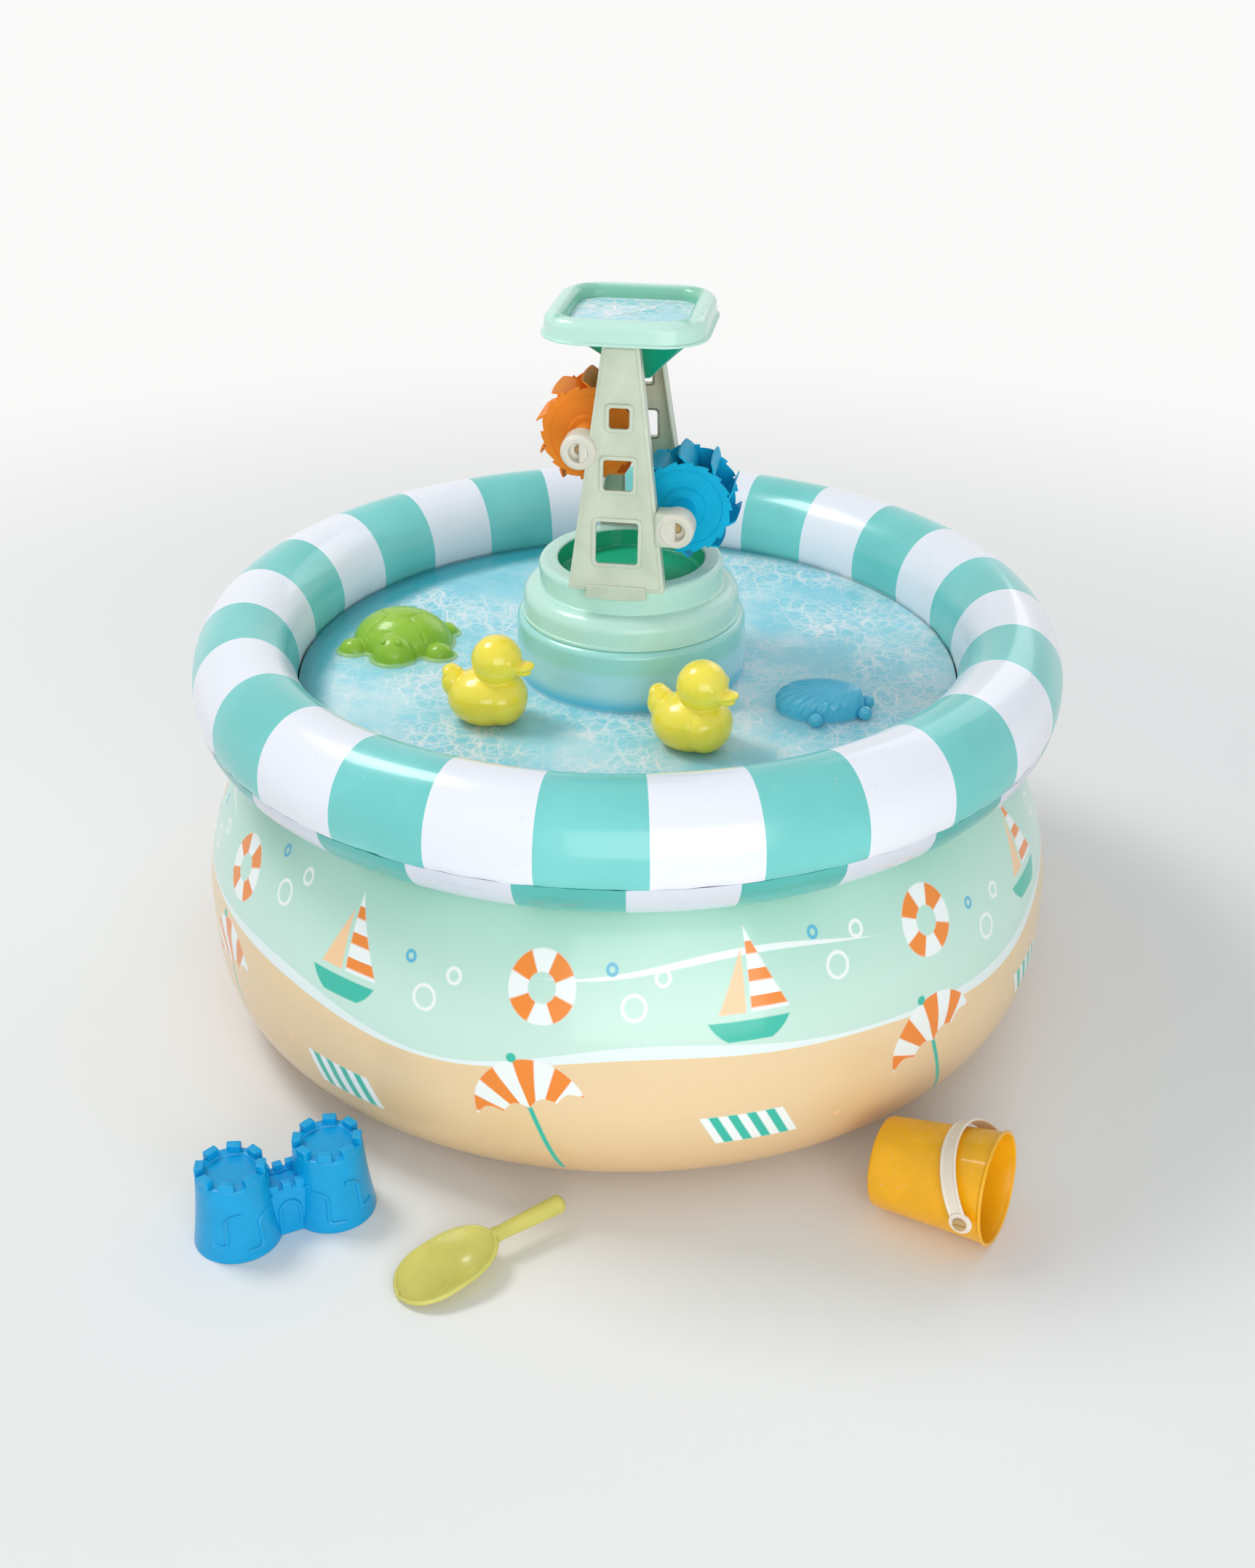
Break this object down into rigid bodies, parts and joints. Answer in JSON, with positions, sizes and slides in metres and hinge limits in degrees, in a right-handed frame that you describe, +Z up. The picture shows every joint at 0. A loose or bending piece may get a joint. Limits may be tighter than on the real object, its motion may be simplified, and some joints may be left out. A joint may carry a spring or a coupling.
{
  "type": "inflatable sand and water table",
  "caption": "Round inflatable play table with a water basin, a striped air ring and a central tower of water wheels, with loose bath and sand toys.",
  "frame": {"origin": "centre of the drum's underside, on the ground", "axes": "+Z up, the tower's front panel towards -Y, +X to the right seen from the front"},
  "size_m": [0.9492, 1.0709, 0.78],
  "materials": {
    "ring_film": "glossy printed film",
    "wall_film": "glossy printed film",
    "floor_film": "glossy film",
    "base_film": "glossy film",
    "clear_film": "clear film",
    "pedestal_film": "glossy film",
    "mint_plastic": "satin moulded",
    "stone_plastic": "satin moulded",
    "green_plastic": "satin moulded",
    "orange_plastic": "glossy moulded",
    "blue_plastic": "glossy moulded",
    "tan_plastic": "satin moulded",
    "yellow_vinyl": "soft vinyl",
    "lime_plastic": "glossy moulded",
    "sky_plastic": "glossy moulded",
    "castle_plastic": "satin moulded",
    "straw_plastic": "satin moulded",
    "amber_plastic": "glossy moulded",
    "cream_plastic": "satin moulded"
  },
  "bodies": {
    "pool": {"ring_upper_film": "ring_film", "ring_lower_film": "ring_film", "side_wall": "wall_film", "basin_floor": "floor_film", "base_sheet": "base_film", "pedestal": "pedestal_film", "ring_valve": "clear_film", "wall_valve": "clear_film", "floor_tie_1": "clear_film", "floor_tie_2": "clear_film", "floor_tie_3": "clear_film", "floor_tie_4": "clear_film", "floor_tie_5": "clear_film", "floor_tie_6": "clear_film"},
    "tower": {"base_cap": "mint_plastic", "front_panel": "stone_plastic", "rear_panel": "stone_plastic", "tray": "mint_plastic", "hopper": "green_plastic", "orange_axle": "tan_plastic", "blue_axle": "tan_plastic"},
    "orange_wheel": {"orange_wheel": "orange_plastic"},
    "blue_wheel": {"blue_wheel": "blue_plastic"},
    "ring_plug": {"ring_plug": "clear_film"},
    "wall_plug": {"wall_plug": "clear_film"},
    "duck_left": {"duck_left": "yellow_vinyl"},
    "duck_right": {"duck_right": "yellow_vinyl"},
    "turtle": {"turtle_mould": "lime_plastic"},
    "shell": {"shell_mould": "sky_plastic"},
    "castle": {"castle_mould": "castle_plastic"},
    "scoop": {"scoop": "straw_plastic"},
    "bucket": {"bucket": "amber_plastic", "handle_pin_front": "tan_plastic", "handle_pin_rear": "tan_plastic"},
    "handle": {"bucket_handle": "cream_plastic"}
  },
  "joints": [
    {"name": "tower_lift", "type": "slide", "parent": "pool", "child": "tower", "axis": [0, 0, 1], "range_m": [0, 0.1]},
    {"name": "orange_spin", "type": "hinge", "parent": "tower", "child": "orange_wheel", "pos_m": [-0.03551, 0.00626, 0.65], "axis": [0.1564, 0.9877, 0], "continuous": true},
    {"name": "blue_spin", "type": "hinge", "parent": "tower", "child": "blue_wheel", "pos_m": [0.06326, -0.00939, 0.576], "axis": [0.1564, 0.9877, 0], "continuous": true},
    {"name": "ring_plug_pull", "type": "slide", "parent": "pool", "child": "ring_plug", "axis": [-0.0819, 0.9356, 0.3434], "range_m": [0, 0.015]},
    {"name": "wall_plug_pull", "type": "slide", "parent": "pool", "child": "wall_plug", "axis": [-0.0779, 0.8906, 0.4481], "range_m": [0, 0.015]},
    {"name": "duck_left_lift", "type": "slide", "parent": "pool", "child": "duck_left", "axis": [0, 0, 1], "range_m": [0, 0.15]},
    {"name": "duck_right_lift", "type": "slide", "parent": "pool", "child": "duck_right", "axis": [0, 0, 1], "range_m": [0, 0.15]},
    {"name": "turtle_lift", "type": "slide", "parent": "pool", "child": "turtle", "axis": [0, 0, 1], "range_m": [0, 0.15]},
    {"name": "shell_lift", "type": "slide", "parent": "pool", "child": "shell", "axis": [0, 0, 1], "range_m": [0, 0.15]},
    {"name": "castle_lift", "type": "slide", "parent": "pool", "child": "castle", "axis": [0, 0, 1], "range_m": [0, 0.15]},
    {"name": "scoop_lift", "type": "slide", "parent": "pool", "child": "scoop", "axis": [0, 0, 1], "range_m": [0, 0.15]},
    {"name": "bucket_lift", "type": "slide", "parent": "pool", "child": "bucket", "axis": [0, 0, 1], "range_m": [0, 0.15]},
    {"name": "handle_swing", "type": "hinge", "parent": "bucket", "child": "handle", "pos_m": [0.34075, -0.48319, 0.05471], "axis": [0.4695, 0.8829, 0], "range_deg": [0, 165]}
  ]
}
